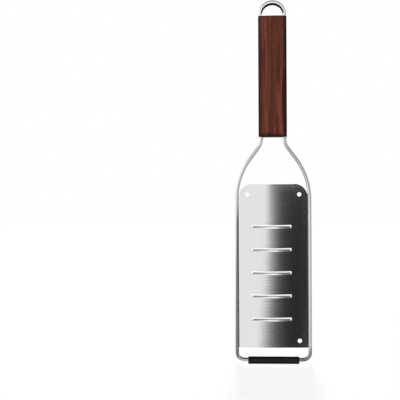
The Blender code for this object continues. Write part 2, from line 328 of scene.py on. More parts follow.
def combine(piece: bpy.types.Object, tools: list[bpy.types.Object], work: Work) -> None:
    """Cut other solids out of a piece, or weld them to it, and delete them.

    Args:
        piece: The piece that stays.
        tools: The solids that it is worked with.
        work: Whether they are cut out or welded on.
    """
    for tool in tools:
        modifier = piece.modifiers.new(tool.name, "BOOLEAN")
        modifier.operation = work.value
        modifier.solver = "EXACT"
        modifier.object = tool
    apply_modifiers(piece)
    for tool in tools:
        bpy.data.objects.remove(tool, do_unlink=True)
    piece.data.shade_smooth()
    piece.data.set_sharp_from_angle(angle=math.radians(SMOOTH_ANGLE))


def dress(piece: bpy.types.Object, material: bpy.types.Material, node: str) -> bpy.types.Object:
    """Give a piece its finish, and let it stand for its CAD node.

    Args:
        piece: The finished piece.
        material: Its material.
        node: The CAD node that it stands for.

    Returns:
        The piece.
    """
    piece.data.materials.clear()
    piece.data.materials.append(material)
    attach(piece, BODY)
    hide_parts(node)
    return piece


# Outlines and paths
def rounded_outline(width: float, depth: float, radii: tuple[float, ...], steps: int) -> np.ndarray:
    """Closed outline of a rounded rectangle centred on zero.

    Each corner is an arc, its centre drawn in from the corner by its radius both ways. The corners run
    anticlockwise from the one at +width, +depth. A point a little way along the flat at each end of an arc
    keeps the flat's shading flat.

    Args:
        width: Size along the first number.
        depth: Size along the second number.
        radii: One radius for each corner.
        steps: Edges in each corner's arc.

    Returns:
        One row of two numbers for each point.
    """
    radius = np.array(radii)[:, None]
    sides = np.array(((1, 1), (-1, 1), (-1, -1), (1, -1)))
    angles = np.radians(90 * np.arange(4)[:, None] + np.linspace(0, 90, steps + 1)[None, :])
    x = sides[:, :1] * (width / 2 - radius) + radius * np.cos(angles)
    y = sides[:, 1:] * (depth / 2 - radius) + radius * np.sin(angles)
    arcs = np.stack((x, y), axis=-1)
    along = np.stack((-np.sin(angles), np.cos(angles)), axis=-1) * FLAT_SUPPORT
    lines = (arcs[:, :1] - along[:, :1], arcs, arcs[:, -1:] + along[:, -1:])
    return np.concatenate(lines, axis=1).reshape(-1, 2)


def circle_outline(radius: float, sides: int) -> np.ndarray:
    """Closed outline of a circle: radius times the cosine and sine of equal steps of a turn."""
    angles = np.linspace(0, 2 * np.pi, sides, endpoint=False)
    return radius * np.stack((np.cos(angles), np.sin(angles)), axis=-1)


def bent_path(start: tuple[float, float], heading: float, moves: list[tuple[float, float]],
              step_angle: float) -> tuple[np.ndarray, np.ndarray]:
    """Centreline of a bar bent in the XZ plane, as a pipe bender would make it.

    A bend's centre lies square to the heading, a radius away, and its points turn about it.

    Args:
        start: First point, x and z.
        heading: First direction, from +X towards +Z.
        moves: Pairs of length and zero for a straight run, or of radius and turn for a bend.
        step_angle: Largest turn between two points of a bend.

    Returns:
        The points, x and z, and the heading at each.
    """
    points = [np.array([start])]
    headings = [np.array([heading])]
    for size, turn in moves:
        here = points[-1][-1]
        facing = headings[-1][-1]
        cosine, sine = math.cos(math.radians(facing)), math.sin(math.radians(facing))
        if turn == 0:
            points.append(here + size * np.array([[cosine, sine]]))
            headings.append(np.array([facing]))
            continue
        reach = math.copysign(size, turn)
        steps = max(2, math.ceil(abs(turn) / step_angle))
        angles = facing + turn * np.arange(1, steps + 1) / steps
        centre = here + reach * np.array([-sine, cosine])
        radians = np.radians(angles)
        points.append(centre + reach * np.stack((np.sin(radians), -np.cos(radians)), axis=-1))
        headings.append(angles)
    return np.concatenate(points), np.concatenate(headings)


def sweep(points: np.ndarray, headings: np.ndarray, outline: np.ndarray) -> np.ndarray:
    """Carry an outline square to a path in the XZ plane.

    A ring's point is the path's point, plus the outline's first number times the path's left normal, plus its
    second along +Y.

    Args:
        points: The path's points, x and z.
        headings: The heading at each.
        outline: Closed outline, left of the path and along +Y.

    Returns:
        Points as rings, places in a ring, and x, y and z.
    """
    turn = np.radians(headings)[:, None]
    x = points[:, :1] - outline[None, :, 0] * np.sin(turn)
    z = points[:, 1:] + outline[None, :, 0] * np.cos(turn)
    y = np.broadcast_to(outline[None, :, 1], x.shape)
    return np.stack((x, y, z), axis=-1)


def upright_pin(name: str, x: float, bottom: float, top: float, radius: float,
                sides: int = 48) -> bpy.types.Object:
    """Closed cylinder along +Z.

    Args:
        name: Name of the object.
        x: Place of its axis.
        bottom: Height of its lower end.
        top: Height of its upper end.
        radius: Its radius.
        sides: Sides of its circle.

    Returns:
        The cylinder.
    """
    upwards = np.full(2, 90.0)
    rings = sweep(np.array([(x, bottom), (x, top)]), upwards, circle_outline(radius, sides))
    return new_piece(name, closed_skin(name, rings))


# Finishes
@dataclass(frozen=True)
class OiledWalnut:
    """Oiled walnut, planed and sanded lengthwise.

    The oil gives a low satin sheen and deepens the colour. The eye sees long streaks from dark to reddish
    and yellowish brown, one dark growth line near the middle, and short dark pores that run with the grain.
    The edges and ends are darker with little sheen: painted shade where the rounding turns from the light,
    deepest on the right.

    A width is a mark's size across the grain, and a stretch is its size across over its size along. The pores
    are drawn about twice as wide as real ones, so that they show. Noise limits are the levels at which a mark
    starts and is full. Shades are distances in from a face: where the dark starts, and where it is full.
    """

    dark: str = "#411910"
    red: str = "#61281B"
    light: str = "#764333"
    dun: str = "#582F1D"
    pore: str = "#2A120D"
    edge_shade_colour: str = "#171A1F"
    roughness: float = 0.5
    ior: float = 1.47
    open_sheen: float = 0.4
    edge_sheen: float = 0.03
    streak_stretch: float = 0.05
    streak_stops: tuple[float, float, float] = (0.38, 0.49, 0.61)
    broad_width: float = 4.6 * MM
    narrow_width: float = 1.5 * MM
    narrow_share: float = 0.45
    dun_width: float = 6.57 * MM
    dun_limits: tuple[float, float] = (0.45, 0.62)
    dun_strength: float = 0.6
    pore_stretch: float = 0.1
    pore_width: float = 0.5 * MM
    pore_limits: tuple[float, float] = (0.55, 0.66)
    pore_strength: float = 0.7
    pore_relief: float = 0.02 * MM
    growth_line_place: float = -0.3 * MM
    growth_line_width: float = 1.5 * MM
    growth_line_bend: float = 3.333 * MM
    growth_line_wander: float = 2.0 * MM
    growth_line_strength: float = 0.7
    front_shade: tuple[float, float] = (7.5 * MM, 2.5 * MM)
    side_shade: tuple[float, float] = (5.0 * MM, 1.0 * MM)
    right_shade_bias: float = 0.55 * MM
    bottom_shade: float = 5.0 * MM
    top_shade: float = 1.6 * MM
    edge_shade_strength: float = 0.72

    def painted_edge_shade(self, tree: bpy.types.NodeTree, place: Socket) -> Socket:
        """Mask of painted shade on the edges: how near an edge a point lies, from zero on the open face to
        one.

        It falls with the distance from the nearest upright corner, lower end or upper end, each over a width
        of its own. The right corners' painted shade reaches further in than the left ones', as the light
        comes from the left.

        Args:
            tree: The material's node tree.
            place: Object coordinates.

        Returns:
            The mask's socket.
        """
        low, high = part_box("handle")
        apart = add_node(tree, "ShaderNodeSeparateXYZ", {"Vector": place}).outputs
        shifted = add_node(tree, "ShaderNodeMath", {0: apart["X"], 1: self.right_shade_bias}, operation="ADD")
        across = add_node(tree, "ShaderNodeMath", {0: shifted.outputs[0]}, operation="ABSOLUTE")
        deep = add_node(tree, "ShaderNodeMath", {0: apart["Y"]}, operation="ABSOLUTE")
        mask = soft_mask(tree, [(deep.outputs[0], *(high.y - inset for inset in self.front_shade)),
                                (across.outputs[0], *(high.x - inset for inset in self.side_shade))])
        for start, end in ((low.z + self.bottom_shade, low.z), (high.z - self.top_shade, high.z)):
            mask = add_node(tree, "ShaderNodeMath", {0: mask, 1: soft_mask(tree, [(apart["Z"], start, end)])},
                            operation="MAXIMUM").outputs[0]
        return mask

    def growth_line(self, tree: bpy.types.NodeTree, place: Socket, along: Socket) -> Socket:
        """Mask of one dark line up the handle, which wanders a little from side to side.

        It falls evenly with the distance of x, plus a noise times the wander, from the line's place.

        Args:
            tree: The material's node tree.
            place: Object coordinates.
            along: The same, stretched along the grain.

        Returns:
            The mask's socket.
        """
        bends = add_node(tree, "ShaderNodeTexNoise", {"Vector": along, "Scale": 1 / self.growth_line_bend,
                                                      "Detail": 1.0})
        apart = add_node(tree, "ShaderNodeSeparateXYZ", {"Vector": place})
        middle = -self.growth_line_wander / 2 - self.growth_line_place
        centred = add_node(tree, "ShaderNodeMath", {0: apart.outputs["X"], 1: middle}, operation="ADD")
        away = add_node(tree, "ShaderNodeMath", {0: bends.outputs["Fac"], 1: self.growth_line_wander,
                                                 2: centred.outputs[0]}, operation="MULTIPLY_ADD")
        distance = add_node(tree, "ShaderNodeMath", {0: away.outputs[0]}, operation="ABSOLUTE")
        return add_node(tree, "ShaderNodeMapRange", {"Value": distance.outputs[0],
                                                     "From Max": self.growth_line_width,
                                                     "To Min": self.growth_line_strength,
                                                     "To Max": 0.0}).outputs["Result"]

    def make(self) -> bpy.types.Material:
        """Build the material: streaks, and over them dun patches, the growth line, the pores and painted
        shade on the edges.

        Returns:
            Walnut whose streaks follow +Z, fitted to the handle's own size.
        """
        material, tree, shader = new_material("oiled_walnut")
        place = add_node(tree, "ShaderNodeTexCoord").outputs["Object"]
        along, along_pores = (
            add_node(tree, "ShaderNodeMapping", {"Vector": place,
                                                 "Scale": (1.0, 1.0, stretch)}).outputs["Vector"]
            for stretch in (self.streak_stretch, self.pore_stretch))
        broad = add_node(tree, "ShaderNodeTexNoise", {"Vector": along, "Scale": 1 / self.broad_width,
                                                      "Detail": 2.0, "Distortion": 0.8})
        narrow = add_node(tree, "ShaderNodeTexNoise", {"Vector": along, "Scale": 1 / self.narrow_width,
                                                       "Detail": 2.0, "Roughness": 0.6})
        duns = add_node(tree, "ShaderNodeTexNoise", {"Vector": along, "Scale": 1 / self.dun_width,
                                                     "Detail": 2.0})
        pores = add_node(tree, "ShaderNodeTexNoise", {"Vector": along_pores, "Scale": 1 / self.pore_width,
                                                      "Detail": 1.0})
        mixed = add_node(tree, "ShaderNodeMix", {"Factor": self.narrow_share, "A": broad.outputs["Fac"],
                                                 "B": narrow.outputs["Fac"]})
        shades = (linear(self.dark), linear(self.red), linear(self.light))
        colour = add_node(tree, "ShaderNodeValToRGB", {"Fac": mixed.outputs["Result"]},
                          stops=list(zip(self.streak_stops, shades))).outputs["Color"]
        dun_mask, pore_mask = (
            add_node(tree, "ShaderNodeMapRange", {"Value": noise.outputs["Fac"], "From Min": start,
                                                  "From Max": end, "To Max": strength}).outputs["Result"]
            for noise, (start, end), strength in ((duns, self.dun_limits, self.dun_strength),
                                                  (pores, self.pore_limits, self.pore_strength)))
        # Painted shade on the edges and ends: a darker colour and less sheen there.
        edge = self.painted_edge_shade(tree, place)
        edge_shade_share = add_node(tree, "ShaderNodeMath", {0: edge, 1: self.edge_shade_strength}, operation="MULTIPLY")
        for mask, stain in ((dun_mask, self.dun), (self.growth_line(tree, place, along), self.dark),
                            (pore_mask, self.pore), (edge_shade_share.outputs[0], self.edge_shade_colour)):
            colour = add_node(tree, "ShaderNodeMix", {"Factor": mask, "A": colour, "B": linear(stain)},
                              data_type="RGBA").outputs["Result"]
        sheen = add_node(tree, "ShaderNodeMapRange", {"Value": edge, "To Min": self.open_sheen,
                                                      "To Max": self.edge_sheen})
        bump = add_node(tree, "ShaderNodeBump", {"Height": pore_mask, "Strength": 1.0,
                                                 "Distance": self.pore_relief}, invert=True)
        feed(tree, shader, {"Base Color": colour, "Specular IOR Level": sheen.outputs["Result"],
                            "Normal": bump.outputs["Normal"], "Roughness": self.roughness, "IOR": self.ior})
        return material


@dataclass(frozen=True)
class Stainless:
    """Stainless steel with the fine lines of its last working.

    The eye sees a sharp reflection along the lines and a smeared one square to them, with faint streaks. The
    lines are drawn about half a millimetre apart, where real ones lie closer than the render can show.
    Places under a mask of painted shade have a colour, roughness and share of bare metal of their own.
    """

    name: str
    colour: str
    roughness: float
    lines: Lines
    line_spacing: float
    line_relief: float
    wave_relief: float
    wave_spacing: float = 2.0833 * MM
    roughness_spread: float = 0.04
    sideways_tilt: float = 0.0
    anisotropy: float = 0.0
    anisotropy_turn: float = 0.25
    painted_shade_colour: str = "#4A4846"
    dull_roughness: float = 0.5
    dull_metallic: float = 1.0
    dull_sheen: float = 0.0

    def make(self, dull: Callable[[bpy.types.NodeTree, Socket], Socket]) -> bpy.types.Material:
        """Build the material.

        Args:
            dull: Given the node tree and Object coordinates, makes a mask of the painted shade, which is also
                matt.

        Returns:
            Steel whose tangent is the sheet's own UV map, where it has anisotropy.
        """
        material, tree, shader = new_material(self.name)
        place = add_node(tree, "ShaderNodeTexCoord").outputs["Object"]
        lines = add_node(tree, "ShaderNodeMapping", {"Vector": place, "Scale": self.lines.value})
        fine, waves = (
            add_node(tree, "ShaderNodeTexNoise", {"Vector": lines.outputs["Vector"], "Detail": 3.0,
                                                  "Scale": 1 / spacing / max(self.lines.value),
                                                  "Roughness": 0.6}).outputs["Fac"]
            for spacing in (self.line_spacing, self.wave_spacing))
        rough = add_node(tree, "ShaderNodeMapRange", {"Value": fine, "From Min": NOISE_SPAN[0],
                                                      "From Max": NOISE_SPAN[1],
                                                      "To Min": self.roughness - self.roughness_spread / 2,
                                                      "To Max": self.roughness + self.roughness_spread / 2})
        straying = add_node(tree, "ShaderNodeMath", {0: waves, 1: 2 * self.sideways_tilt,
                                                     2: -self.sideways_tilt}, operation="MULTIPLY_ADD")
        sideways = add_node(tree, "ShaderNodeCombineXYZ", {"X": straying.outputs[0]})
        facing = add_node(tree, "ShaderNodeNewGeometry").outputs["Normal"]
        normal = add_node(tree, "ShaderNodeVectorMath", {0: facing, 1: sideways.outputs[0]},
                          operation="ADD").outputs[0]
        for height, relief in ((fine, self.line_relief), (waves, self.wave_relief)):
            normal = add_node(tree, "ShaderNodeBump", {"Height": height, "Strength": 1.0, "Distance": relief,
                                                       "Normal": normal}).outputs["Normal"]
        # The mask marks painted shade: there the colour turns greyer or darker, and matt.
        mask = dull(tree, place)
        colour = add_node(tree, "ShaderNodeMix", {"Factor": mask, "A": linear(self.colour),
                                                  "B": linear(self.painted_shade_colour)}, data_type="RGBA")
        matt = add_node(tree, "ShaderNodeMix", {"Factor": mask, "A": rough.outputs["Result"],
                                                "B": self.dull_roughness})
        feed(tree, shader, {"Base Color": colour.outputs["Result"], "Roughness": matt.outputs["Result"],
                            "Normal": normal, "Metallic": 1.0})
        if self.dull_metallic < 1:
            bare = add_node(tree, "ShaderNodeMix", {"Factor": mask, "A": 1.0, "B": self.dull_metallic})
            feed(tree, shader, {"Metallic": bare.outputs["Result"], "Specular IOR Level": self.dull_sheen})
        if self.anisotropy:
            tangent = add_node(tree, "ShaderNodeTangent", direction_type="UV_MAP", uv_map=Blade.UV_NAME)
            feed(tree, shader, {"Anisotropic": self.anisotropy, "Anisotropic Rotation": self.anisotropy_turn,
                                "Tangent": tangent.outputs["Tangent"]})
        return material


# Stainless rod, drawn through a die: faint lines along it, and highlights with soft edges that run its whole
# length. A greyer, matt band up its left side beside the blade is painted shade, and the greyer, matt right
# bottom bend is a painted dark reflection of the room's right side.
ROD_STEEL = Stainless(name="drawn_stainless_rod", colour="#DADAD8", roughness=0.2, lines=Lines.UPRIGHT,
                      line_spacing=0.4 * MM, line_relief=0.002 * MM, wave_relief=0.008 * MM,
                      painted_shade_colour="#949290")

# Stainless sheet, brushed from side to side: the room's light and dark meet in a streaky border down the
# sheet, because the lines smear a reflection up and down only. A dark line along the right rolled edge is
# painted shade.
BLADE_STEEL = Stainless(name="brushed_stainless_sheet", colour="#E1E1E0", roughness=0.07, lines=Lines.ACROSS,
                        line_spacing=0.6 * MM, line_relief=0.002 * MM, wave_relief=0.02 * MM,
                        roughness_spread=0.03, sideways_tilt=0.005, anisotropy=1.0)

# Stainless flat bar, bent and polished outside: crisp highlights on its rims. Its inside is a painted dark
# reflection: nearly black, not metal, and without sheen.
LOOP_STEEL = Stainless(name="polished_stainless_bar", colour="#E8E8E7", roughness=0.15, lines=Lines.UPRIGHT,
                       line_spacing=0.5 * MM, line_relief=0.001 * MM, wave_relief=0.003 * MM,
                       painted_shade_colour="#060606", dull_metallic=0.0)


@dataclass(frozen=True)
class BlackRubber:
    """Black rubber, moulded in a tool with a matt texture.

    The eye sees hardly any sheen and a very fine grain. The sole and top are darker and have less sheen than
    the wall between: painted shade, as they turn away from the light. Their limits are distances from the
    lowest and the highest point. The grain is drawn about three times as coarse as the real one, so that it
    shows.
    """

    colour: str = "#131314"
    sole_and_top_shade: str = "#070707"
    roughness: float = 0.55
    ior: float = 1.52
    sheen: float = 0.25
    sole_sheen: float = 0.02
    sole_limits: tuple[float, float] = (0.44 * MM, 2.2 * MM)
    top_limits: tuple[float, float] = (0.28 * MM, 1.4 * MM)
    grain: float = 0.35 * MM
    relief: float = 0.015 * MM

    def make(self) -> bpy.types.Material:
        """Build the material.

        Returns:
            Rubber with a fine relief, whose wall fades into the sole and the top by its height.
        """
        material, tree, shader = new_material("moulded_black_rubber")
        low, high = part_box("foot")
        place = add_node(tree, "ShaderNodeTexCoord").outputs["Object"]
        height = add_node(tree, "ShaderNodeSeparateXYZ", {"Vector": place}).outputs["Z"]
        # Painted shade: the sole and top are darker and have less sheen than the wall.
        wall = soft_mask(tree, [(height, *(low.z + up for up in self.sole_limits)),
                                (height, *(high.z - down for down in self.top_limits))])
        colour = add_node(tree, "ShaderNodeMix", {"Factor": wall, "A": linear(self.sole_and_top_shade),
                                                  "B": linear(self.colour)}, data_type="RGBA")
        sheen = add_node(tree, "ShaderNodeMapRange", {"Value": wall, "To Min": self.sole_sheen,
                                                      "To Max": self.sheen})
        grain = add_node(tree, "ShaderNodeTexNoise", {"Vector": place, "Scale": 1 / self.grain,
                                                      "Detail": 2.0})
        bump = add_node(tree, "ShaderNodeBump", {"Height": grain.outputs["Fac"], "Strength": 1.0,
                                                 "Distance": self.relief})
        feed(tree, shader, {"Base Color": colour.outputs["Result"],
                            "Specular IOR Level": sheen.outputs["Result"],
                            "Normal": bump.outputs["Normal"], "Roughness": self.roughness, "IOR": self.ior})
        return material


# The object's pieces
@dataclass
class Handle:
    """Walnut bar, rounded along its length and eased at its ends, with bores for the rod and the loop."""

    finish: OiledWalnut = OiledWalnut()
    edge_radius: float = 3.2 * MM
    end_radius: float = 0.8 * MM
    bore_radius: float = 1.9 * MM
    bore_depth: float = 45.5 * MM
    bore_half_span: float = 10.075 * MM
    tenon_bore_radius: float = 1.25 * MM
    tenon_bore_depth: float = 14.5 * MM
    tenon_half_span: float = 10.625 * MM
    corner_steps: int = 10
    end_steps: int = 5
    overrun: float = 2.0 * MM

    def rings(self) -> np.ndarray:
        """Outlines up the bar.

        An eased end is a quarter circle: the outline is drawn in by the end radius times one minus the sine
        of the angle, at a height of the end radius times one minus its cosine.

        Returns:
            Points as rings, places in a ring, and x, y and z.
        """
        low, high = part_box("handle")
        angles = np.radians(np.linspace(0, 90, self.end_steps + 1))
        inset = self.end_radius * (1 - np.sin(angles))
        climb = self.end_radius * (1 - np.cos(angles))
        insets = np.concatenate((inset, inset[::-1]))
        heights = np.concatenate((low.z + climb, (high.z - climb)[::-1]))
        width, depth = high.x - low.x, high.y - low.y
        outlines = [rounded_outline(width - 2 * cut, depth - 2 * cut, (self.edge_radius - cut,) * 4,
                                    self.corner_steps) for cut in insets]
        flat = np.stack(outlines)
        upright = np.broadcast_to(heights[:, None, None], (*flat.shape[:2], 1))
        return np.concatenate((flat, upright), axis=-1)

    def build(self) -> bpy.types.Object:
        """Build the handle.

        Returns:
            The dressed piece.
        """
        low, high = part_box("handle")
        handle = new_piece("walnut_handle", closed_skin("walnut_handle", self.rings()))
        cutters = []
        for side in (-1, 1):
            cutters.append(upright_pin(f"leg_bore_{side}", side * self.bore_half_span, low.z - self.overrun,
                                       low.z + self.bore_depth, self.bore_radius))
            cutters.append(upright_pin(f"tenon_bore_{side}", side * self.tenon_half_span,
                                       high.z - self.tenon_bore_depth, high.z + self.overrun,
                                       self.tenon_bore_radius))
        combine(handle, cutters, Work.CUT)
        return dress(handle, self.finish.make(), "handle")


@dataclass
class FrameRod:
    """Round rod bent into a hairpin: bottom run, corners, straight sides, shoulders, neck and legs.

    The shade band's start and end are places across the rod, in radii from its middle, at the blade's bottom.
    """

    finish: Stainless = ROD_STEEL
    diameter: float = 3.3 * MM
    corner_radius: float = 6.4 * MM
    side_length: float = 135.0 * MM
    shoulder_radius: float = 60.0 * MM
    neck_angle: float = 37.0
    exit_radius: float = 16.5 * MM
    exit_straight: float = 0.4 * MM
    leg_length: float = 45.0 * MM
    leg_half_span: float = 10.075 * MM
    shade_band_start: tuple[float, float] = (-1.3, -0.7)
    shade_band_start_lean: float = 1.2
    shade_band_end: tuple[float, float] = (0.95, 0.75)
    shade_band_end_lean: float = 0.32
    shade_band_foot: tuple[float, float] = (12.7 * MM, 90.0 * MM)
    shade_band_top: tuple[float, float] = (144.0 * MM, 122.0 * MM)
    shade_band_at_foot: float = 0.95
    bend_matt_shade: float = 0.8
    bend_x: tuple[float, float] = (20.0 * MM, 24.5 * MM)
    bend_z: tuple[float, float] = (16.0 * MM, 9.0 * MM)
    sides: int = 40
    step_angle: float = 2.5

    def path(self) -> tuple[np.ndarray, np.ndarray]:
        """Centreline of the whole rod, from the top of its left leg round the bottom to the top of the right.

        The neck's straight run is what the two bends leave of the width, over the sine of the neck's angle.

        Returns:
            The points, x and z, and the heading at each.
        """
        low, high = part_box("frame_rod")
        half_span = high.x - self.diameter / 2
        angle = math.radians(self.neck_angle)
        bends = (self.shoulder_radius + self.exit_radius) * (1 - math.cos(angle))
        slope = (half_span - self.leg_half_span - bends) / math.sin(angle)
        moves = [
            (half_span - self.corner_radius, 0.0),
            (self.corner_radius, 90.0),
            (self.side_length, 0.0),
            (self.shoulder_radius, self.neck_angle),
            (slope, 0.0),
            (self.exit_radius, -self.neck_angle),
            (self.exit_straight + self.leg_length, 0.0),
        ]
        points, headings = bent_path((0.0, low.z + self.diameter / 2), 0.0, moves, self.step_angle)
        left_points = points[:0:-1] * np.array((-1.0, 1.0))
        return np.concatenate((left_points, points[1:])), np.concatenate((-headings[:0:-1], headings[1:]))

    def painted_shade_mask(self, tree: bpy.types.NodeTree, place: Socket) -> Socket:
        """Mask of painted shade: a greyer, matt band up the left side beside the blade, and the right bend.

        The band lies between the shade band's start and end. Both lean outwards on the way up, by their lean
        over the blade's height. It is a little weaker at its foot, and it dies out below the blade's top. The
        right bend at the bottom is greyer and matt all round: a painted dark reflection of the room's right
        side.

        Args:
            tree: The material's node tree.
            place: Object coordinates.

        Returns:
            The mask's socket.
        """
        radius = self.diameter / 2
        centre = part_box("frame_rod")[1].x - radius
        low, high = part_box("blade")
        apart = add_node(tree, "ShaderNodeSeparateXYZ", {"Vector": place}).outputs
        across = add_node(tree, "ShaderNodeMath", {0: apart["X"], 1: 1 / radius, 2: centre / radius},
                          operation="MULTIPLY_ADD")
        climb = add_node(tree, "ShaderNodeMapRange", {"Value": apart["Z"], "From Min": low.z,
                                                      "From Max": high.z})
        start, end = (
            add_node(tree, "ShaderNodeMath", {0: climb.outputs["Result"], 1: -lean, 2: across.outputs[0]},
                     operation="MULTIPLY_ADD").outputs[0]
            for lean in (self.shade_band_start_lean, self.shade_band_end_lean))
        # Painted shade in the crevice beside the blade.
        band = soft_mask(tree, [(start, *self.shade_band_start), (end, *self.shade_band_end),
                                (apart["Z"], *self.shade_band_foot, self.shade_band_at_foot),
                                (apart["Z"], *self.shade_band_top)])
        # Painted dark reflection on the right bottom bend.
        bend = soft_mask(tree, [(apart["X"], *self.bend_x), (apart["Z"], *self.bend_z)], self.bend_matt_shade)
        return add_node(tree, "ShaderNodeMath", {0: band, 1: bend}, operation="MAXIMUM").outputs[0]

    def build(self) -> bpy.types.Object:
        """Build the rod.

        Returns:
            The dressed piece.
        """
        rings = sweep(*self.path(), circle_outline(self.diameter / 2, self.sides))
        rod = new_piece("steel_rod", closed_skin("steel_rod", rings))
        return dress(rod, self.finish.make(self.painted_shade_mask), "frame_rod")


@dataclass
class Blade:
    """Crowned sheet with rolled edges, three small holes and five slots, each with a raised lip below.

    A hook is the short cut down at either end of a slot's gap, beside the lip. Insets are distances in from
    the sheet's outer edge.
    """

    UV_NAME = "sheet"

    finish: Stainless = BLADE_STEEL
    sheet: float = 0.5 * MM
    crown_radius: float = 400.0 * MM
    crown_depth: float = 3.0 * MM
    roll_radius: float = 0.55 * MM
    seam_width: float = 0.3 * MM
    corner_radius: float = 11.0 * MM
    top_ease_height: float = 7.0 * MM
    top_ease_drop: float = 0.12 * MM
    hole_radius: float = 1.9 * MM
    hole_half_block: float = 3.2 * MM
    hole_side_inset: float = 7.2 * MM
    hole_top_inset: float = 9.0 * MM
    hole_bottom_inset: float = 6.0 * MM
    hole_ring_shares: tuple[float, ...] = (0.45, 0.8, 1.0)
    slot_count: int = 5
    slot_pitch: float = 20.4 * MM
    slot_first_inset: float = 25.95 * MM
    slot_sideways: float = -1.5 * MM
    slot_width: float = 35.0 * MM
    slot_gap: float = 1.3 * MM
    slot_bow: float = 0.3 * MM
    hook_width: float = 1.25 * MM
    hook_drop: float = 1.05 * MM
    hook_taper: float = 0.3
    hook_shoulder: float = 0.35 * MM
    lip_length: float = 1.98 * MM
    lip_rise: float = 0.9 * MM
    lip_power: float = 1.5
    edge_shade_start: tuple[float, float] = (0.65 * MM, 0.5 * MM)
    edge_shade_end: tuple[float, float] = (0.01 * MM, 0.04 * MM)
    roll_steps: int = 8
    wall_steps: int = 3
    least_wall_share: float = 0.08
    block_steps: int = 8
    hook_columns: int = 2
    lip_columns: int = 44
    fold_rows: int = 4
    hook_rows: int = 5
    plain_rows: int = 8
    corner_rows: int = 14
    half_width: float = field(init=False)
    bottom: float = field(init=False)
    top: float = field(init=False)
    roll_y: float = field(init=False)

    def __post_init__(self) -> None:
        """Take the sheet's outer size from its CAD node."""
        low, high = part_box("blade")
        self.half_width, self.bottom, self.top = high.x, low.z, high.z
        lever = self.crown_radius - self.roll_radius
        fall = math.sqrt(lever ** 2 - (self.half_width - self.roll_radius) ** 2)
        self.roll_y = self.crown_radius - self.crown_depth - fall

    def front(self, x: np.ndarray, z: np.ndarray) -> np.ndarray:
        """Depth of the plain front face, without the straight wall behind each rolled edge.

        Across, a wide arc that runs tangent into a quarter circle at each edge: y is the crown circle's
        depth inside the tangent point, and the roll circle's outside it. Up, the last few millimetres fall
        back by a square law.

        Args:
            x: Places across.
            z: Heights.

        Returns:
            The depth y at each place.
        """
        lever = self.crown_radius - self.roll_radius
        roll_x = self.half_width - self.roll_radius
        tangent_x = self.crown_radius * roll_x / lever
        across = np.abs(x)
        crown_y = self.crown_radius - self.crown_depth
        crown = crown_y - np.sqrt(self.crown_radius ** 2 - np.minimum(across, tangent_x) ** 2)
        beyond = np.clip(across - roll_x, 0, self.roll_radius)
        roll = self.roll_y - np.sqrt(self.roll_radius ** 2 - beyond ** 2)
        ease = np.clip((z - self.top + self.top_ease_height) / self.top_ease_height, 0, 1)
        return np.where(across <= tangent_x, crown, roll) + self.top_ease_drop * ease ** 2

    def slot_edges(self) -> np.ndarray:
        """Height of each lip's cutting edge, from the lowest up."""
        first = self.bottom + self.slot_first_inset - self.slot_gap / 2
        return first + self.slot_pitch * np.arange(self.slot_count)

    def columns(self) -> np.ndarray:
        """Grid lines across the flat pattern.

        They lie evenly by angle over each rolled edge, and evenly by width over the wall and the seam behind
        it, the blocks round the holes, the hooks and the lips between them.

        Returns:
            Their places, from the left edge to the right.
        """
        roll_x = self.half_width - self.roll_radius
        roll = roll_x + self.roll_radius * np.sin(np.radians(np.linspace(0, 90, self.roll_steps + 1)))
        wall = self.half_width - self.roll_y * np.linspace(0, 1, self.wall_steps + 1)[1:]
        seam = self.half_width - self.roll_y + self.seam_width * np.array((0.5, 1.0))
        edge = np.concatenate(([roll_x - FLAT_SUPPORT], roll, wall, seam))
        hole_x = self.half_width - self.hole_side_inset
        block = hole_x + self.hole_half_block * np.linspace(-1, 1, self.block_steps + 1)
        left = self.slot_sideways - self.slot_width / 2
        right = self.slot_sideways + self.slot_width / 2
        hook = np.linspace(0, self.hook_width, self.hook_columns + 1)[:-1]
        lip = np.linspace(left + self.hook_width, right - self.hook_width, self.lip_columns + 1)
        support = np.array((left - FLAT_SUPPORT, right + FLAT_SUPPORT, (right + block[0]) / 2))
        return np.sort(np.concatenate((-edge, -block, left + hook, lip, right - hook, support, block, edge)))

    def rows(self) -> tuple[np.ndarray, np.ndarray]:
        """Grid lines up the flat pattern.

        They lie evenly over the blocks round the holes, each lip's fold, its hooks, and the plain sheet
        between, and evenly by angle over the rounded corners.

        Returns:
            Their heights, and for each the slot that it belongs to, or -1 for a plain one.
        """
        block = self.hole_half_block * np.linspace(-1, 1, self.block_steps + 1)
        heights = [self.bottom]
        owners = [-1]

        def plain(lines: np.ndarray) -> None:
            """Add plain grid lines."""
            heights.extend(lines)
            owners.extend([-1] * len(lines))

        plain(self.bottom + self.hole_bottom_inset + block)
        for slot, edge in enumerate(self.slot_edges()):
            fold, hook = edge - self.lip_length, edge - self.hook_drop
            plain(np.linspace(heights[-1], fold, self.plain_rows + 1)[1:-1])
            lines = np.concatenate(([fold - FLAT_SUPPORT], np.linspace(fold, hook, self.fold_rows + 1)[:-1],
                                    np.linspace(hook, edge, self.hook_rows + 1), [edge + self.slot_gap]))
            heights.extend(lines)
            owners.extend([slot] * len(lines))
        hole_lines = self.top - self.hole_top_inset + block
        plain(np.linspace(heights[-1], hole_lines[0], self.plain_rows + 1)[1:-1])
        plain(hole_lines)
        corner_z = self.top - self.corner_radius
        first = math.asin((hole_lines[-1] - corner_z) / self.corner_radius)
        angles = np.linspace(first, math.pi / 2, self.corner_rows + 1)[1:]
        plain(corner_z + self.corner_radius * np.sin(angles))
        return np.array(heights), np.array(owners)

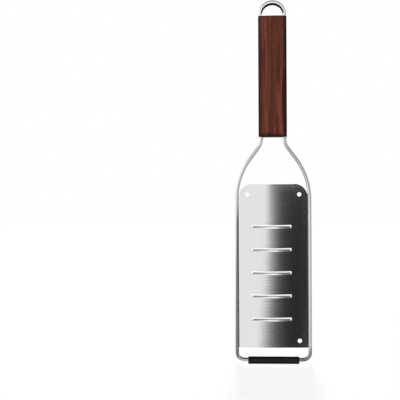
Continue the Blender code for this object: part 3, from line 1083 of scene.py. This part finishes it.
    def grid(self) -> tuple[np.ndarray, np.ndarray, np.ndarray]:
        """Front face of the sheet as a grid.

        The top rows are drawn in to follow the rounded corners, where the wall behind the edge and the seam
        that joins it to the rod die out. In a slot, the rows bow down in the middle by a parabola. The cut's
        two hooks narrow towards their tips, and with each hook's inner edge moves the column on either side.
        The gap's upper corners are drawn down by the hooks' shoulder. A point of the lip stands forward by
        the lip's rise times a power of its share of the lip's length.

        Returns:
            The points as rows, columns, and x, y, z and flat x, then the flat columns and the rows.
        """
        columns = self.columns()
        heights, owners = self.rows()
        x = np.tile(columns, (len(heights), 1))
        z = np.tile(heights[:, None], (1, len(columns)))
        edges = self.slot_edges()[owners]
        in_slot = owners >= 0
        share = np.where(in_slot, np.clip((heights - edges + self.lip_length) / self.lip_length, 0, 1), 0)
        in_lip = in_slot & (heights < edges + self.slot_gap / 2)

        reach = self.slot_width / 2
        hook_step = self.hook_width / self.hook_columns
        off = x - self.slot_sideways
        past_hook = np.abs(off) - reach + self.hook_width
        into = np.clip(1 - past_hook / self.hook_width, 0, 1)
        hook_share = np.clip((edges - heights) / self.hook_drop, 0, 1)
        fade = np.clip(share * self.lip_length / (self.lip_length - self.hook_drop), 0, 1)
        taper = np.where(in_lip, self.hook_taper * hook_share * fade, 0)[:, None]
        beside_hook = np.abs(past_hook) < 1.5 * hook_step
        x = x + np.where(beside_hook, np.sign(off) * taper * self.hook_width * into, 0)

        across = np.clip(off / reach, -1, 1)
        z = z - np.where(in_slot[:, None], self.slot_bow * (1 - across ** 2), 0)
        above_gap = in_slot & ~in_lip
        at_end = np.abs(past_hook - self.hook_width) < hook_step / 2
        z = z - np.where(above_gap[:, None] & at_end, self.hook_shoulder, 0)

        climb = np.clip(heights - (self.top - self.corner_radius), 0, self.corner_radius)
        drawn_in = self.corner_radius - np.sqrt(self.corner_radius ** 2 - climb ** 2)
        wall_share = np.clip(1 - drawn_in / self.roll_radius, self.least_wall_share, 1)[:, None]
        past = np.abs(x) - self.half_width
        wall = np.clip(past, 0, -self.roll_y) * wall_share
        seam = np.sign(x) * np.clip(past + self.roll_y, 0, self.seam_width) * wall_share
        flat_x = x
        x = np.clip(x, -self.half_width, self.half_width) * (1 - drawn_in / self.half_width)[:, None]
        y = self.front(x, z) + wall
        x = x + seam
        y = y - np.where(in_lip[:, None], self.lip_rise * share[:, None] ** self.lip_power * into, 0)
        return np.stack((x, y, z, flat_x), axis=-1), columns, heights

    def gap_cells(self, columns: np.ndarray, heights: np.ndarray) -> np.ndarray:
        """Whether each cell lies in a slot's gap or in one of its two hooks.

        Args:
            columns: The flat columns.
            heights: The rows.

        Returns:
            True or false for each row and column of cells.
        """
        x = (columns[1:] + columns[:-1]) / 2 - self.slot_sideways
        z = (heights[1:] + heights[:-1]) / 2
        inside = np.abs(x) < self.slot_width / 2
        hook = inside & (np.abs(x) > self.slot_width / 2 - self.hook_width)
        above = z[:, None] - self.slot_edges()[None, :]
        gap = ((above > 0) & (above < self.slot_gap)).any(axis=1)
        drop = ((above > -self.hook_drop) & (above < self.slot_gap)).any(axis=1)
        return (gap[:, None] & inside[None, :]) | (drop[:, None] & hook[None, :])

    def ring_block(self, points: np.ndarray, columns: np.ndarray, heights: np.ndarray,
                   hole: tuple[float, float], first_new: int) -> tuple[np.ndarray, np.ndarray, np.ndarray]:
        """Rings of cells between a square block of the grid and a round hole in its middle.

        A ring's point lies between the block's border point and the point of the circle in the same
        direction, by a share that grows inwards.

        Args:
            points: The grid's points.
            columns: The flat columns.
            heights: The rows.
            hole: The hole's middle, x and z.
            first_new: Number of the first point that is added.

        Returns:
            Which cells the block takes out, the added points, and the added quads.
        """
        half = self.hole_half_block + SAME_PLACE
        across = np.flatnonzero(np.abs(columns - hole[0]) <= half)
        upwards = np.flatnonzero(np.abs(heights - hole[1]) <= half)
        columns_at = np.concatenate((across[:-1], np.full(len(upwards) - 1, across[-1]),
                                     across[:0:-1], np.full(len(upwards) - 1, across[0])))
        rows_at = np.concatenate((np.full(len(across) - 1, upwards[0]), upwards[:-1],
                                  np.full(len(across) - 1, upwards[-1]), upwards[:0:-1]))
        outer = points[rows_at, columns_at]
        away = outer[:, (0, 2)] - np.array(hole)
        circle = np.array(hole) + self.hole_radius * away / np.linalg.norm(away, axis=1)[:, None]
        shares = np.array(self.hole_ring_shares)[:, None, None]
        flat = (1 - shares) * outer[None, :, (0, 2)] + shares * circle[None]
        depth = self.front(flat[..., 0], flat[..., 1])
        added = np.stack((flat[..., 0], depth, flat[..., 1], flat[..., 0]), axis=-1)
        border_numbers = rows_at * len(columns) + columns_at
        added_numbers = first_new + np.arange(added[..., 0].size).reshape(len(added), -1)
        numbers = np.concatenate((border_numbers[None], added_numbers))
        quads = numbers.reshape(-1)[grid_faces(len(numbers), numbers.shape[1], closed_columns=True)]
        taken = np.zeros((len(heights) - 1, len(columns) - 1), bool)
        taken[upwards[0]:upwards[-1], across[0]:across[-1]] = True
        return taken, added.reshape(-1, added.shape[-1]), quads

    def painted_shade_mask(self, tree: bpy.types.NodeTree, place: Socket) -> Socket:
        """Mask of a dark, matt line of painted shade along the right rolled edge, which hides its highlight.

        It rises over the shade's start and falls over its end, both insets from that edge.

        Args:
            tree: The material's node tree.
            place: Object coordinates.

        Returns:
            The mask's socket.
        """
        # Painted shade over the right rolled edge.
        x = add_node(tree, "ShaderNodeSeparateXYZ", {"Vector": place}).outputs["X"]
        return soft_mask(tree, [(x, *(self.half_width - inset for inset in insets))
                                for insets in (self.edge_shade_start, self.edge_shade_end)])

    def build(self) -> bpy.types.Object:
        """Build the blade.

        Returns:
            The dressed piece.
        """
        points, columns, heights = self.grid()
        keep = ~self.gap_cells(columns, heights)
        hole_x = self.half_width - self.hole_side_inset
        high, low = self.top - self.hole_top_inset, self.bottom + self.hole_bottom_inset
        all_points = [points.reshape(-1, points.shape[-1])]
        ring_quads = []
        for hole in ((-hole_x, high), (hole_x, high), (hole_x, low)):
            count = sum(len(part) for part in all_points)
            taken, added, quads = self.ring_block(points, columns, heights, hole, count)
            keep &= ~taken
            all_points.append(added)
            ring_quads.append(quads)
        quads = grid_faces(len(heights), len(columns))[keep.reshape(-1)]
        quads = np.concatenate([quads, *ring_quads])
        used, quads = np.unique(quads, return_inverse=True)
        vertices = np.concatenate(all_points)[used]
        mesh = make_mesh("steel_blade", vertices[:, :3], quads.reshape(-1, 4))
        corners = np.empty(len(mesh.loops), np.int32)
        mesh.loops.foreach_get("vertex_index", corners)
        layer = mesh.uv_layers.new(name=self.UV_NAME)
        layer.data.foreach_set("uv", vertices[corners][:, (3, 2)].astype(np.float32).reshape(-1))
        blade = new_piece("steel_blade", mesh)
        solid = blade.modifiers.new("sheet_thickness", "SOLIDIFY")
        solid.thickness = self.sheet
        solid.offset = -1
        apply_modifiers(blade)
        blade.data.set_sharp_from_angle(angle=math.radians(SMOOTH_ANGLE))
        return dress(blade, self.finish.make(self.painted_shade_mask), "blade")


@dataclass
class HangingLoop:
    """Half-ring of flat bar on two short legs, with a tenon under each leg."""

    finish: Stainless = LOOP_STEEL
    bar_thickness: float = 2.9 * MM
    outer_edge_radius: float = 0.8 * MM
    inner_edge_radius: float = 0.5 * MM
    dark_at_crown: float = 0.6 * MM
    dark_at_sides: float = 0.9 * MM
    dark_fade: float = 0.2 * MM
    dark_start: float = 1.8 * MM
    leg_length: float = 1.3 * MM
    tenon_radius: float = 1.0 * MM
    tenon_half_span: float = 10.625 * MM
    corner_steps: int = 5
    step_angle: float = 2.0

    def painted_dark_inside(self, tree: bpy.types.NodeTree, place: Socket) -> Socket:
        """Mask of a painted dark reflection on the inside of the bend.

        It is one inside an ellipse about the bend's axis, which takes in a little of the front face at the
        crown and more of it at the sides, and it dies out towards the legs. Below the axis the height counts
        for nothing.

        Args:
            tree: The material's node tree.
            place: Object coordinates.

        Returns:
            The mask's socket.
        """
        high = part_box("hanging_loop")[1]
        inner = high.x - self.bar_thickness
        reach = inner + self.dark_at_crown
        apart = add_node(tree, "ShaderNodeSeparateXYZ", {"Vector": place}).outputs
        lifted = add_node(tree, "ShaderNodeMath", {0: apart["Z"], 1: high.z - high.x}, operation="SUBTRACT")
        climb = add_node(tree, "ShaderNodeMath", {0: lifted.outputs[0], 1: 0.0}, operation="MAXIMUM")
        across = add_node(tree, "ShaderNodeMath", {0: apart["X"], 1: reach / (inner + self.dark_at_sides)},
                          operation="MULTIPLY")
        flat = add_node(tree, "ShaderNodeCombineXYZ", {"X": across.outputs[0], "Y": climb.outputs[0]})
        distance = add_node(tree, "ShaderNodeVectorMath", {0: flat.outputs[0]}, operation="LENGTH")
        # Painted dark reflection on the inside of the bend, reaching a little onto the front face.
        return soft_mask(tree, [(distance.outputs["Value"], reach, reach - self.dark_fade),
                                (climb.outputs[0], 0.0, self.dark_start)])

    def build(self) -> bpy.types.Object:
        """Build the loop.

        Returns:
            The dressed piece.
        """
        low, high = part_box("hanging_loop")
        radius = high.x - self.bar_thickness / 2
        legs_bottom = high.z - high.x - self.leg_length
        inner, outer = self.inner_edge_radius, self.outer_edge_radius
        outline = rounded_outline(self.bar_thickness, high.y - low.y, (inner, outer, outer, inner),
                                  self.corner_steps)
        moves = [(self.leg_length, 0.0), (radius, 180.0), (self.leg_length, 0.0)]
        points, headings = bent_path((radius, legs_bottom), 90.0, moves, self.step_angle)
        loop = new_piece("steel_loop", closed_skin("steel_loop", sweep(points, headings, outline)))
        tenons = [upright_pin(f"tenon_{side}", side * self.tenon_half_span, low.z,
                              legs_bottom + self.leg_length / 2, self.tenon_radius) for side in (-1, 1)]
        combine(loop, tenons, Work.WELD)
        return dress(loop, self.finish.make(self.painted_dark_inside), "hanging_loop")


@dataclass
class Foot:
    """Rubber sleeve with a flat sole, chamfered ends and a bore for the rod, nearer its top than its sole."""

    finish: BlackRubber = BlackRubber()
    top_radius: float = 2.0 * MM
    sole_radius: float = 0.8 * MM
    end_chamfer: float = 0.4 * MM
    bore_radius: float = 1.9 * MM
    bore_height: float = 3.3 * MM
    corner_steps: int = 9

    def rings(self) -> np.ndarray:
        """Rings of a closed band: out along the sleeve's skin, and back through its bore.

        The skin's outline is a rounded rectangle, and the bore's point lies from the bore's axis in the
        direction of the skin's point.

        Returns:
            Points as rings, places in a ring, and x, y and z.
        """
        low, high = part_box("foot")
        height, depth = high.z - low.z, high.y - low.y
        radii = np.array((self.top_radius, self.sole_radius, self.sole_radius, self.top_radius))
        middle = (low.z + high.z) / 2
        skins = []
        for inset in (self.end_chamfer, 0.0, 0.0, self.end_chamfer):
            outline = rounded_outline(height - 2 * inset, depth - 2 * inset, tuple(radii - inset / 2),
                                      self.corner_steps)
            skins.append(outline + np.array((middle, 0.0)))
        axis = np.array((self.bore_height, 0.0))
        away = skins[1] - axis
        bore = axis + self.bore_radius * away / np.linalg.norm(away, axis=1)[:, None]
        places = (low.x, low.x, low.x + self.end_chamfer, high.x - self.end_chamfer, high.x, high.x)
        flat = np.stack([bore, *skins, bore])
        x = np.broadcast_to(np.array(places)[:, None, None], (*flat.shape[:2], 1))
        return np.concatenate((x, flat[..., 1:], flat[..., :1]), axis=-1)

    def build(self) -> bpy.types.Object:
        """Build the foot.

        Returns:
            The dressed piece.
        """
        foot = new_piece("rubber_foot", closed_skin("rubber_foot", self.rings(), torus=True))
        return dress(foot, self.finish.make(), "foot")


# The studio
@dataclass(frozen=True)
class Patch:
    """Part of the room that metal sees, laid over what was laid before it.

    It is one grey level, pairs of a bearing and the grey level there, or a colour that is already worked out.
    It shows where every named direction has passed its limits, each given as the place where the patch starts
    to show and the place where it covers, and as strongly as its strength says. Without limits it covers all.
    """

    levels: float | Levels | Socket
    limits: tuple[tuple[str, float, float], ...] = ()
    strength: float = 1.0
    along: str = "bearing"


@dataclass(frozen=True)
class Lamp:
    """Square soft lamp that lights the object alone and is not seen itself. Its power is in watts."""

    name: str
    place: Place
    side: float
    power: float

    def build(self, aim: Place, lit_pieces: bpy.types.Collection) -> None:
        """Add the lamp, pointed at its aim.

        Args:
            aim: What it points at.
            lit_pieces: The collection of the pieces that it lights.
        """
        data = bpy.data.lights.new(self.name, "AREA")
        data.shape = "SQUARE"
        data.size = self.side
        data.energy = self.power
        lamp = bpy.data.objects.new(self.name, data)
        bpy.context.scene.collection.objects.link(lamp)
        lamp.location = self.place
        lamp.rotation_euler = (Vector(aim) - Vector(self.place)).to_track_quat("-Z", "Y").to_euler()
        lamp.visible_glossy = False
        lamp.visible_camera = False
        lamp.light_linking.receiver_collection = lit_pieces


@dataclass
class Studio:
    """Pale floor, white surroundings, soft lamps, and what polished metal sees of the room.

    Metal sees a white wall on the left and a dark one on the right, with a soft border a little left of the
    middle, a lit panel above, a dark ceiling, and a floor that is bright in front of the object. Behind the
    object the room is bright but for a dark upright band.
    """

    lit_pieces: bpy.types.Collection
    white: float = 1.0
    plain_level: float = 0.16
    floor_size: float = 12.0
    floor_albedo: float = 0.8
    floor_white: float = 1.008
    floor_dull: float = 0.25
    shadow_depth: float = 0.095
    shadow_climb: float = 40.0
    shadow_bearing: float = -1.0
    shadow_softness: float = 6.0
    lamp_aim: Place = (0.0, 0.0, 0.16)
    slant: float = 0.8
    slant_start: float = -4.0
    slant_reach: float = 3.6
    first_bearing: float = -60.0
    last_bearing: float = 120.0

    LAMPS = (
        Lamp("key_lamp", place=(-0.95, -1.5, 0.40), side=0.9, power=32.3),
        Lamp("top_lamp", place=(0.0, -0.2, 1.6), side=1.2, power=5.0),
        Lamp("back_lamp", place=(0.3, 1.8, 0.7), side=1.2, power=20.0),
        Lamp("side_lamp", place=(1.8, 0.3, 0.5), side=0.9, power=12.0),
    )

    LOW_WALL = (
        (-60.0, 1.36), (-17.0, 1.36), (-11.5, 1.0), (-2.6, 1.02), (-1.9, 0.92), (-0.97, 0.60), (-0.06, 0.40),
        (0.85, 0.23), (1.76, 0.135), (2.6, 0.08), (3.6, 0.05), (4.6, 0.036), (6.5, 0.027), (11.0, 0.027),
        (15.5, 0.08), (20.0, 1.1), (28.0, 1.4), (38.0, 1.1), (52.0, 0.55), (75.0, 0.42), (112.0, 0.6),
    )
    HIGH_WALL = (
        (-60.0, 1.25), (-18.0, 1.2), (-11.5, 1.0), (-2.0, 1.04), (-0.97, 0.66), (-0.5, 0.44), (-0.06, 0.34),
        (0.85, 0.275), (1.76, 0.215), (2.68, 0.17), (4.5, 0.135), (6.3, 0.115), (8.2, 0.09), (12.0, 0.25),
        (25.0, 0.7), (50.0, 0.42), (80.0, 0.4), (110.0, 0.6),
    )
    NEAR_FLOOR = (
        (-30.0, 0.5), (-12.0, 0.9), (-8.0, 1.15), (-4.0, 1.1), (-2.8, 1.0), (-1.0, 0.75), (0.6, 0.6),
        (2.1, 0.40), (3.6, 0.2), (4.8, 0.07), (7.0, 0.05), (15.0, 0.5), (30.0, 0.55), (110.0, 0.6),
    )
    DEEP_FLOOR = (
        (-30.0, 0.2), (-12.0, 0.50), (-8.5, 0.60), (-6.4, 0.70), (-4.8, 0.98), (-2.8, 1.15), (-1.0, 1.28),
        (0.6, 1.28), (2.1, 1.10), (3.6, 0.62), (5.0, 0.3), (6.7, 0.2), (16.0, 0.25), (110.0, 0.25),
    )

    # The low wall's border leans, a dim corner lies low on its left, and the floor darkens under the camera.
    # Straight ahead a dark strip lies above the wall, with the lit panel along its lower edge.
    FRONT = (
        Patch(LOW_WALL, along="slanted"),
        Patch(HIGH_WALL, (("rise", -0.8, 4.0),)),
        Patch(0.3, (("bearing", -12.0, -26.0), ("rise", 0.5, -6.0)), strength=0.18),
        Patch(NEAR_FLOOR, (("rise", -8.0, -11.5),)),
        Patch(DEEP_FLOOR, (("rise", -28.0, -42.0),)),
        Patch(0.3, (("rise", -60.0, -70.0),)),
        Patch(0.32, (("rise", 12.0, 18.0), ("aside", 22.0, 14.0))),
        Patch(1.25, (("rise", 8.5, 9.2), ("rise", 15.0, 11.5), ("aside", 22.0, 14.0))),
    )

    # From -X to +X, behind the object: bright, the dark band, and a little less bright.
    REAR = (
        Patch(1.1),
        Patch(0.09, (("X", -0.07, 0.04),)),
        Patch(0.8, (("X", 0.1, 0.35),)),
    )

    # The rear takes over at the sides, and the ceiling from above.
    REAR_LIMITS = (("aside", 100.0, 125.0),)
    CEILING = Patch(0.05, (("rise", 26.0, 42.0),))

    def directions(self, tree: bpy.types.NodeTree) -> dict[str, Socket]:
        """Work out where a ray goes, each step from the ones before it.

        The bearing is the angle from straight ahead of the blade towards +X, aside is the same without its
        sign, and the rise is the angle above the horizon. Slanted is the bearing plus the slant for each
        degree below the slant's start, as far down as its reach.

        Args:
            tree: The world's node tree.

        Returns:
            The sockets by their names, with the ray's own X, Y and Z.
        """
        way = add_node(tree, "ShaderNodeTexCoord").outputs["Generated"]
        known = dict(add_node(tree, "ShaderNodeSeparateXYZ", {"Vector": way}).outputs.items())
        steps = (
            ("ahead", "MULTIPLY", "Y", -1.0),
            ("turn", "ARCTAN2", "X", "ahead"),
            ("bearing", "DEGREES", "turn"),
            ("aside", "ABSOLUTE", "bearing"),
            ("climb", "ARCSINE", "Z"),
            ("rise", "DEGREES", "climb"),
            ("lower", "SUBTRACT", self.slant_start, "rise"),
            ("below", "MAXIMUM", "lower", 0.0),
            ("moved", "MINIMUM", "below", self.slant_reach),
            ("slanted", "MULTIPLY_ADD", "moved", self.slant, "bearing"),
        )
        for name, operation, *values in steps:
            inputs = {number: known.get(value, value) for number, value in enumerate(values)}
            known[name] = add_node(tree, "ShaderNodeMath", inputs, operation=operation).outputs[0]
        return known

    def lay(self, tree: bpy.types.NodeTree, known: dict[str, Socket], patches: tuple[Patch, ...]) -> Socket:
        """Lay patches over each other, from the first up.

        Args:
            tree: The world's node tree.
            known: The directions by their names.
            patches: The patches, of which the first covers all.

        Returns:
            The colour's socket.
        """
        span = self.last_bearing - self.first_bearing
        seen = None
        for patch in patches:
            paint = patch.levels
            if isinstance(paint, float):
                paint = grey(paint)
            elif isinstance(paint, tuple):
                place = add_node(tree, "ShaderNodeMapRange", {"Value": known[patch.along],
                                                              "From Min": self.first_bearing,
                                                              "From Max": self.last_bearing})
                stops = [((bearing - self.first_bearing) / span, grey(level)) for bearing, level in paint]
                paint = add_node(tree, "ShaderNodeValToRGB", {"Fac": place.outputs["Result"]},
                                 stops=stops).outputs["Color"]
            if patch.limits:
                limits = [(known[name], start, end) for name, start, end in patch.limits]
                paint = add_node(tree, "ShaderNodeMix", {"Factor": soft_mask(tree, limits, patch.strength),
                                                         "A": seen, "B": paint},
                                 data_type="RGBA").outputs["Result"]
            seen = paint
        return seen

    def build_world(self) -> None:
        """Build the surroundings: white for cameras, the room for metal, and a plain grey for all else."""
        world = bpy.data.worlds.new("studio")
        bpy.context.scene.world = world
        world.use_nodes = True
        world.cycles.sampling_method = "NONE"
        tree = world.node_tree
        known = self.directions(tree)
        front = self.lay(tree, known, self.FRONT)
        rear = self.lay(tree, known, self.REAR)
        room = self.lay(tree, known, (Patch(front), Patch(rear, self.REAR_LIMITS), self.CEILING))
        path = add_node(tree, "ShaderNodeLightPath").outputs
        shiny = add_node(tree, "ShaderNodeMath", {0: path["Is Glossy Ray"], 1: path["Is Transmission Ray"]},
                         operation="MAXIMUM")
        plain = add_node(tree, "ShaderNodeMix", {"Factor": path["Is Camera Ray"], "A": grey(self.plain_level),
                                                 "B": grey(self.white)}, data_type="RGBA")
        seen = add_node(tree, "ShaderNodeMix", {"Factor": shiny.outputs[0], "A": plain.outputs["Result"],
                                                "B": room}, data_type="RGBA")
        feed(tree, tree.nodes["Background"], {"Color": seen.outputs["Result"]})

    def build_floor(self) -> bpy.types.Object:
        """Build the floor: for cameras, white with the object's soft shadow, and a dull grey for all else.

        Its own glow is white less the light that it returns from the room and from the shadow lamp.

        Returns:
            The floor.
        """
        half = self.floor_size / 2
        corners = np.array([(-half, -half, 0), (half, -half, 0), (half, half, 0), (-half, half, 0)], float)
        floor = new_piece("floor", make_mesh("floor", corners, np.array([[0, 1, 2, 3]])))
        material = bpy.data.materials.new("pale_floor")
        material.use_nodes = True
        tree = material.node_tree
        tree.nodes.clear()
        path = add_node(tree, "ShaderNodeLightPath").outputs
        lit = add_node(tree, "ShaderNodeBsdfDiffuse", {"Color": grey(self.floor_albedo)})
        returned = self.floor_albedo * self.plain_level + self.shadow_depth
        glow = add_node(tree, "ShaderNodeEmission", {"Color": grey(self.white),
                                                     "Strength": self.floor_white - returned})
        seen = add_node(tree, "ShaderNodeAddShader", {0: lit.outputs[0], 1: glow.outputs[0]})
        dull = add_node(tree, "ShaderNodeBsdfDiffuse", {"Color": grey(self.floor_dull)})
        mixed = add_node(tree, "ShaderNodeMixShader", {0: path["Is Camera Ray"], 1: dull.outputs[0],
                                                       2: seen.outputs[0]})
        add_node(tree, "ShaderNodeOutputMaterial", {"Surface": mixed.outputs[0]})
        floor.data.materials.append(material)
        floor.visible_glossy = False
        return floor

    def build_shadow_lamp(self, floor: bpy.types.Object) -> None:
        """Add the lamp that casts the shadow.

        It returns the shadow's depth from the floor: its strength is that depth times pi, over the floor's
        albedo and the sine of its height.

        Args:
            floor: The one thing that it lights.
        """
        lit_floor = bpy.data.collections.new("lit_floor")
        lit_floor.objects.link(floor)
        climb = math.radians(self.shadow_climb)
        data = bpy.data.lights.new("shadow_lamp", "SUN")
        data.angle = math.radians(self.shadow_softness)
        data.energy = self.shadow_depth * math.pi / self.floor_albedo / math.sin(climb)
        lamp = bpy.data.objects.new("shadow_lamp", data)
        bpy.context.scene.collection.objects.link(lamp)
        lamp.rotation_euler = (climb - math.pi / 2, 0.0, -math.radians(self.shadow_bearing))
        lamp.visible_glossy = False
        lamp.light_linking.receiver_collection = lit_floor

    def build(self) -> None:
        """Build the surroundings, the floor with its own lamp, and the lamps that light the object alone."""
        bpy.context.scene.view_settings.view_transform = "Standard"
        self.build_world()
        self.build_shadow_lamp(self.build_floor())
        for lamp in self.LAMPS:
            lamp.build(self.lamp_aim, self.lit_pieces)


@dataclass
class PhotoCamera:
    """Level camera straight in front of the blade, turned aside so that the object is right of the middle."""

    distance: float = 1.0
    height: float = 0.1446
    tilt: float = 90.0
    roll: float = 0.26
    turn: float = 3.70
    focal_pixels: float = 1129.5
    image_pixels: float = 400.0
    sensor: float = 36.0

    def build(self) -> None:
        """Build the camera and make it the scene's own."""
        data = bpy.data.cameras.new("photo_camera")
        data.sensor_width = self.sensor
        data.lens = self.sensor * self.focal_pixels / self.image_pixels
        camera = bpy.data.objects.new("photo_camera", data)
        bpy.context.scene.collection.objects.link(camera)
        camera.location = (0.0, -self.distance, self.height)
        camera.rotation_euler = tuple(math.radians(angle) for angle in (self.tilt, self.roll, self.turn))
        bpy.context.scene.camera = camera


def main() -> None:
    """Build the camera, the studio and the five pieces."""
    PhotoCamera().build()
    lit_pieces = bpy.data.collections.new("lit_pieces")
    Studio(lit_pieces).build()
    for part in (Handle(), FrameRod(), Blade(), HangingLoop(), Foot()):
        piece = part.build()
        lit_pieces.objects.link(piece)
        LOG.info("%s: %d points, %d faces", piece.name, len(piece.data.vertices), len(piece.data.polygons))


if __name__ == "__main__":
    main()
